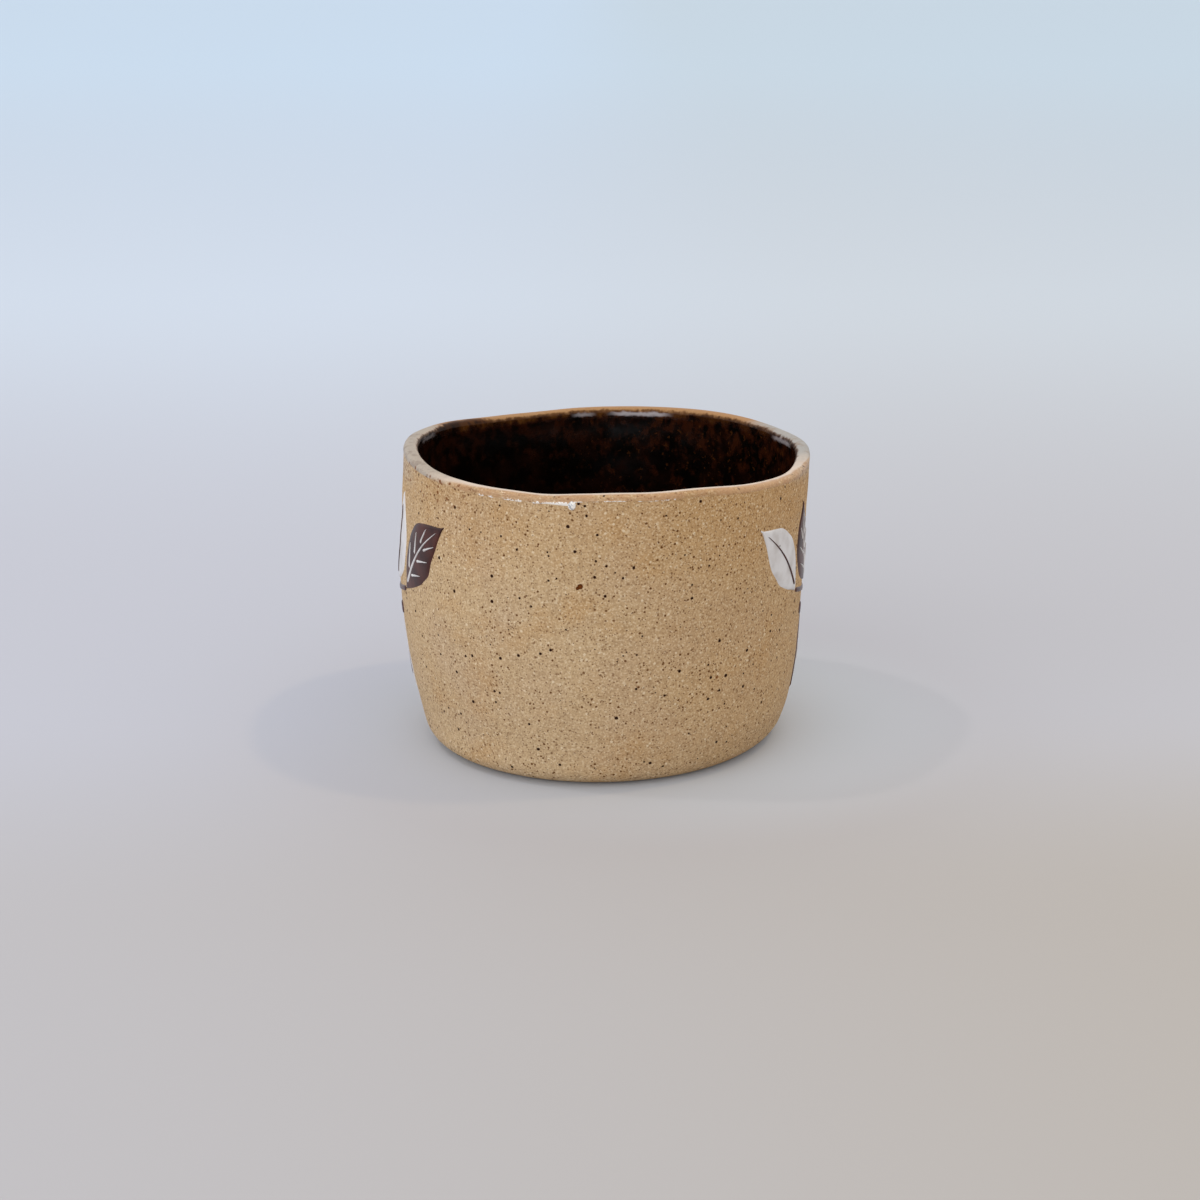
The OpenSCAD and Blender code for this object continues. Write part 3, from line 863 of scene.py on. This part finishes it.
def stroke(form, side, path, half, low, thickness, *, steps, across, shake):
    """Adds one brush stroke on the wall. path and half give its middle and half width at share t."""
    grid = bmesh.ops.create_grid(form, x_segments=steps, y_segments=across, size=0.5)
    flat = list({face for v in grid["verts"] for face in v.link_faces})
    raised = bmesh.ops.extrude_face_region(form, geom=flat, use_keep_orig=True)
    upper = {v for v in raised["geom"] if isinstance(v, bmesh.types.BMVert)}
    uv = form.loops.layers.uv.verify()
    length = (path(1) - path(0)).length
    seed = Vector((*path(0.5), SIDES_APART * side))
    for point in [*grid["verts"], *upper]:
        t = point.co.x + 0.5
        w = 2 * point.co.y
        ahead = (path(min(t + AHEAD, 1)) - path(max(t - AHEAD, 0))).normalized()
        shaken = seed + Vector((SHAKES * t, math.copysign(EDGES_APART, w), 0))
        reach = half(t) * (1 + shake * noise.noise(shaken))
        p = path(t) + Vector((-ahead.y, ahead.x)) * reach * w
        for loop in point.link_loops:
            loop[uv].uv = (length * t, reach * w)
        end = min(t, 1 - t) * length / max(reach, END_LEAST)
        dome = math.sqrt(1 - abs(w) ** 4) * min(1, END_T + end)
        lift = low + thickness * dome if point in upper else low - PAINT_SUNK
        angle = math.pi / 2 + side * p.x / RIM_R
        r = mean_r(p.y) + lift
        point.co = (r * math.cos(angle), r * math.sin(angle), p.y)


def round_ended(half, share):
    """The half width of a stroke, drawn in at both ends over that share of its length."""
    return lambda t: half(t) * math.sqrt(min(1, END_W + min(t, 1 - t) / share))


def painted(name, form, finish, slot, node):
    """Finishes a form of strokes: lays it on the hand-formed wall and makes it a piece."""
    hand_form(form)
    bmesh.ops.recalc_face_normals(form, faces=form.faces)
    piece(name, form, finish, slot, node)


# Width of the streaks that the bristles left, and their width over their length
STREAK_W = 0.4
STREAK_DRAWN = 0.09


def brush_marks(finish):
    """Streaks along a stroke, from 0 to 1."""
    uv = finish.node("ShaderNodeUVMap", {"uv_map": "UVMap"}, {})
    drawn = finish.node("ShaderNodeMapping", {}, {"Vector": uv, "Scale": (STREAK_DRAWN, 1, 1)})
    return clouds(drawn, STREAK_W, 3)


PAINT_WHITE = colour(216, 211, 208)
PAINT_THIN = colour(180, 170, 162)
# Iron grains of the clay that burnt through the white: cube, mean radius and share, as the clay's
GRAINS_BURNT = (2.3, 0.28, 0.12)
white_paint = Finish("white_paint", {"IOR": 1.5, "Coat Weight": 0.35, "Coat Roughness": 0.2})
white_place = in_mm(white_paint)
white_marks = brush_marks(white_paint)
white_thin = step(white_marks * 0.7 + clouds(white_place, 4) * 0.4, 0.6, 0.42)
white_colour = lay(white_thin * 0.75, PAINT_WHITE, PAINT_THIN)
white_colour = lay(specks(white_place, GRAINS_BURNT) * 0.8, white_colour, IRON_BLACK)
white_paint.feed({
    "Base Color": white_colour,
    "Roughness": 0.42 + white_marks * 0.2,
    "Normal": bump(white_marks + clouds(white_place, 0.5) * 0.3, 0.12, 0.6),
})

PAINT_BROWN = colour(50, 24, 19)
PAINT_RED = colour(78, 40, 31)
brown_steady = {"Specular IOR Level": 0.05, "Coat Weight": 0.35, "Coat Roughness": 0.1}
brown_paint = Finish("brown_paint", brown_steady)
brown_place = in_mm(brown_paint)
brown_marks = brush_marks(brown_paint)
brown_thin = step(brown_marks * 0.6 + clouds(brown_place, 5) * 0.5, 0.45, 0.65)
brown_colour = lay(brown_thin, PAINT_BROWN, PAINT_RED)
brown_paint.feed({
    "Base Color": brown_colour,
    "Roughness": 0.3 + brown_marks * 0.2,
    "Normal": bump(brown_marks + clouds(brown_place, 2.2) * 0.5, 0.12, 0.6),
})

for side_name, side in SIDES.items():
    stem_form = bmesh.new()
    stroke(
        stem_form, side, lambda t: stem_point(stem_l * t),
        round_ended(lambda t: STEM_W / 2 * (1 - STEM_TAPER * t), STEM_END), 0, PAINT_T,
        steps=160, across=6, shake=0.12,
    )
    painted("painted_stem_" + side_name, stem_form, brown_paint, "brown_paint", "stem_" + side_name)

# Leaves change colour with each pair, and the two sides start with different colours
leaves = [(side, k) for side in SIDES.values() for k in range(2 * LEAF_PAIRS + 1)]
white_leaves = [(side, k) for side, k in leaves if ((k + 1) // 2 % 2 == 1) == (side == 1)]
brown_leaves = [leaf for leaf in leaves if leaf not in white_leaves]


def paint_leaves(places, colour_name, finish):
    """Paints each leaf as a piece of its own."""
    for i, (side, k) in enumerate(places, 1):
        form = bmesh.new()
        stroke(
            form, side, lambda t: leaf_point(k, t), leaf_half, 0, PAINT_T,
            steps=44, across=16, shake=0.1,
        )
        name = f"{colour_name}_leaf_{i}"
        painted("painted_" + name, form, finish, colour_name + "_paint", name)


paint_leaves(white_leaves, "white", white_paint)
paint_leaves(brown_leaves, "brown", brown_paint)

# Thin lines brushed on top of the leaves in the other colour, sunk a little into the leaf's paint
VEIN_W = 0.9
VEIN_T = 0.18
VEIN_LOW = PAINT_T * 0.93
# The rib from foot to tip, where it would end as a point, and its rounded ends, as shares of a length
RIB_FROM = 0.08
RIB_TO = 0.88
RIB_POINT = 1.05
RIB_END = 0.04
# The side veins: where they start, how far they run along and across the leaf, and the same ends
VEIN_STARTS = (0.22, 0.42, 0.6)
VEIN_RUN = 0.17
VEIN_REACH = 0.72
VEIN_POINT = 1.15
VEIN_END = 0.09


def rib(form, side, k):
    """Adds the line along the middle of leaf k."""
    def share(t):
        return RIB_FROM + (RIB_TO - RIB_FROM) * t

    stroke(
        form, side, lambda t: leaf_point(k, share(t)),
        round_ended(lambda t: VEIN_W / 2 * (RIB_POINT - share(t)), RIB_END), VEIN_LOW, VEIN_T,
        steps=60, across=4, shake=0.2,
    )


def side_vein(form, side, k, start, way):
    """Adds a line from the rib of leaf k towards one edge."""
    reach = VEIN_REACH * leaf_half(start + VEIN_RUN)

    def path(t):
        return leaf_point(k, start + VEIN_RUN * t, way * (VEIN_W + (reach - VEIN_W) * t))

    half = round_ended(lambda t: VEIN_W / 3 * (VEIN_POINT - t), VEIN_END)
    stroke(form, side, path, half, VEIN_LOW, VEIN_T, steps=24, across=4, shake=0.2)


ribs_form = bmesh.new()
for side, k in white_leaves:
    rib(ribs_form, side, k)
painted("painted_white_leaf_ribs", ribs_form, brown_paint, "brown_paint", "white_leaf_ribs")

veins_form = bmesh.new()
for side, k in brown_leaves:
    rib(veins_form, side, k)
    for start in VEIN_STARTS:
        for way in (-1, 1):
            side_vein(veins_form, side, k, start, way)
painted("painted_brown_leaf_veins", veins_form, white_paint, "white_paint", "brown_leaf_veins")

# Round berries on the other side of the stem from each leaf, a little further on: radius, half width
# at their ends, and the clay between them and the stem
BERRY_R = 1.5
BERRY_TIP = 0.12
BERRY_GAP = 1.9
BERRY_OUT = STEM_W / 2 + BERRY_R + BERRY_GAP
BERRY_AHEAD = 2.5


def berry_half(t):
    """Half the height of a berry at share t of its width."""
    return max(BERRY_TIP, BERRY_R * math.sqrt(max(0, 1 - (2 * t - 1) ** 2)))


berries_form = bmesh.new()
for side in SIDES.values():
    for k in range(1, 2 * LEAF_PAIRS + 1):
        s = leaf_at(k)
        middle = stem_point(s) + turned(BERRY_AHEAD, -leaf_side(k) * BERRY_OUT, stem_slope(s))
        stroke(
            berries_form, side, lambda t: middle + Vector((BERRY_R * (2 * t - 1), 0)),
            berry_half, 0, PAINT_T, steps=16, across=10, shake=0.1,
        )
painted("painted_berries", berries_form, brown_paint, "brown_paint", "berries")


# Table
# A plain pale sheet of paper that the cup stands on, warm grey near the camera and cooler further away,
# with painted warm light to the right. It isn't part of the cup.

# Radius in metres
TABLE_R = 6.0
TABLE_NEAR = colour(183, 180, 182)
TABLE_MID = colour(189, 189, 197)
TABLE_BACK = colour(205, 213, 224)
TABLE_FAR = colour(208, 223, 237)
# Painted warm light: what the paper's colour is multiplied by towards the right, less so further away
TABLE_WARM_LIGHT = colour(249, 243, 230)
# Paler paper where the side of the cup throws light back: its middle, outer and inner radius
TABLE_CLOSE = colour(196, 199, 203)
CLOSE_MIDDLE = (12, 6, 0)
CLOSE_OUTER_R = 82
CLOSE_INNER_R = 35
paper = Finish("pale_paper", {"Roughness": 0.9, "IOR": 1.3})
paper_place = in_mm(paper)
paper_y = along(paper_place, "Y")
paper_colour = lay(step(paper_y, -110, 10), TABLE_NEAR, TABLE_MID)
paper_colour = lay(step(paper_y, 60, 640), paper_colour, TABLE_BACK)
paper_colour = lay(step(paper_y, 500, 2600), paper_colour, TABLE_FAR)
paper_warm_light = step(along(paper_place, "X"), -150, 150) * (1 - 0.55 * step(paper_y, -90, 20))
paper_colour = lay(paper_warm_light, paper_colour, TABLE_WARM_LIGHT, "MULTIPLY")
paper_close = step(away_from(paper_place, CLOSE_MIDDLE), CLOSE_OUTER_R, CLOSE_INNER_R)
paper_colour = lay(paper_close * 0.9, paper_colour, TABLE_CLOSE)
paper.feed({"Base Color": paper_colour})
table_form = bmesh.new()
bmesh.ops.create_circle(table_form, cap_ends=True, cap_tris=False, segments=96, radius=TABLE_R)
table_mesh = bpy.data.meshes.new("table")
table_form.to_mesh(table_mesh)
table_form.free()
table_mesh.materials.append(paper.material)
table = bpy.data.objects.new("table", table_mesh)
bpy.context.scene.collection.objects.link(table)


# Light and camera
# A bright room all round, a broad window in front and to the left, and a small lamp high on each
# side. The right one is warm, so its faint shadow is blue. The camera is half a metre away and looks
# a little down. Lamps and camera are in metres and watts.

# Brightness of the room at the level of the cup, and what straight overhead adds to it
ROOM_LOW = 0.95
ROOM_HIGH = 0.06
world = bpy.data.worlds.new("soft_room")
bpy.context.scene.world = world
world.use_nodes = True
room = Nodes(world.node_tree)
overhead = along(room.node("ShaderNodeTexCoord", {}, {}, "Generated"), "Z")
room_light = world.node_tree.nodes["Background"]
room_light.inputs["Color"].default_value = colour(246, 250, 255)
room_strength = ROOM_LOW + ROOM_HIGH * overhead.math("MAXIMUM", 0)
world.node_tree.links.new(room_strength.socket, room_light.inputs["Strength"])


def lamp(name, *, azimuth, elevation, distance, wide, high, power, tint):
    """A flat lamp that shines on the cup. Azimuth 0 is the right, 90 is the back."""
    light = bpy.data.lights.new(name, "AREA")
    light.shape = "RECTANGLE"
    light.size = high
    light.size_y = wide
    light.energy = power
    light.color = tint[:3]
    turn_to = Euler((0, math.radians(90 - elevation), math.radians(azimuth)))
    place = turn_to.to_matrix() @ Vector((0, 0, distance))
    lamp_object = bpy.data.objects.new(name, light)
    lamp_object.matrix_world = Matrix.Translation(place) @ turn_to.to_matrix().to_4x4()
    bpy.context.scene.collection.objects.link(lamp_object)


lamp(
    "warm_lamp", azimuth=-2, elevation=64, distance=1.3, wide=0.055, high=0.055,
    power=1.5, tint=colour(255, 222, 165),
)
lamp(
    "pale_lamp", azimuth=183, elevation=62, distance=1.3, wide=0.05, high=0.05,
    power=1.2, tint=colour(255, 248, 242),
)
lamp(
    "window", azimuth=233, elevation=20, distance=1.9, wide=2.6, high=1.2,
    power=14.0, tint=colour(240, 246, 255),
)

# Distance of the camera, how far it looks down, and the height that it looks at
CAMERA_FAR = 0.5
CAMERA_TILT = math.radians(16.485)
AIM_Z = 32.2 * MM
# Side of the square image, focal length and the place of the aim, all in pixels
IMAGE = 1200
FOCAL_PIXELS = 2246.65
AIM_PIXEL = (603.78, 588.22)
# Width of the sensor in millimetres
SENSOR = 36
camera_data = bpy.data.cameras.new("camera")
camera_data.sensor_width = SENSOR
camera_data.lens = SENSOR * FOCAL_PIXELS / IMAGE
camera_data.shift_x = (IMAGE / 2 - AIM_PIXEL[0]) / IMAGE
camera_data.shift_y = (AIM_PIXEL[1] - IMAGE / 2) / IMAGE
camera = bpy.data.objects.new("camera", camera_data)
camera.location = (0, -CAMERA_FAR * math.cos(CAMERA_TILT), AIM_Z + CAMERA_FAR * math.sin(CAMERA_TILT))
camera.rotation_euler = (math.pi / 2 - CAMERA_TILT, 0, 0)
bpy.context.scene.collection.objects.link(camera)
bpy.context.scene.camera = camera
bpy.context.scene.view_settings.view_transform = "Standard"
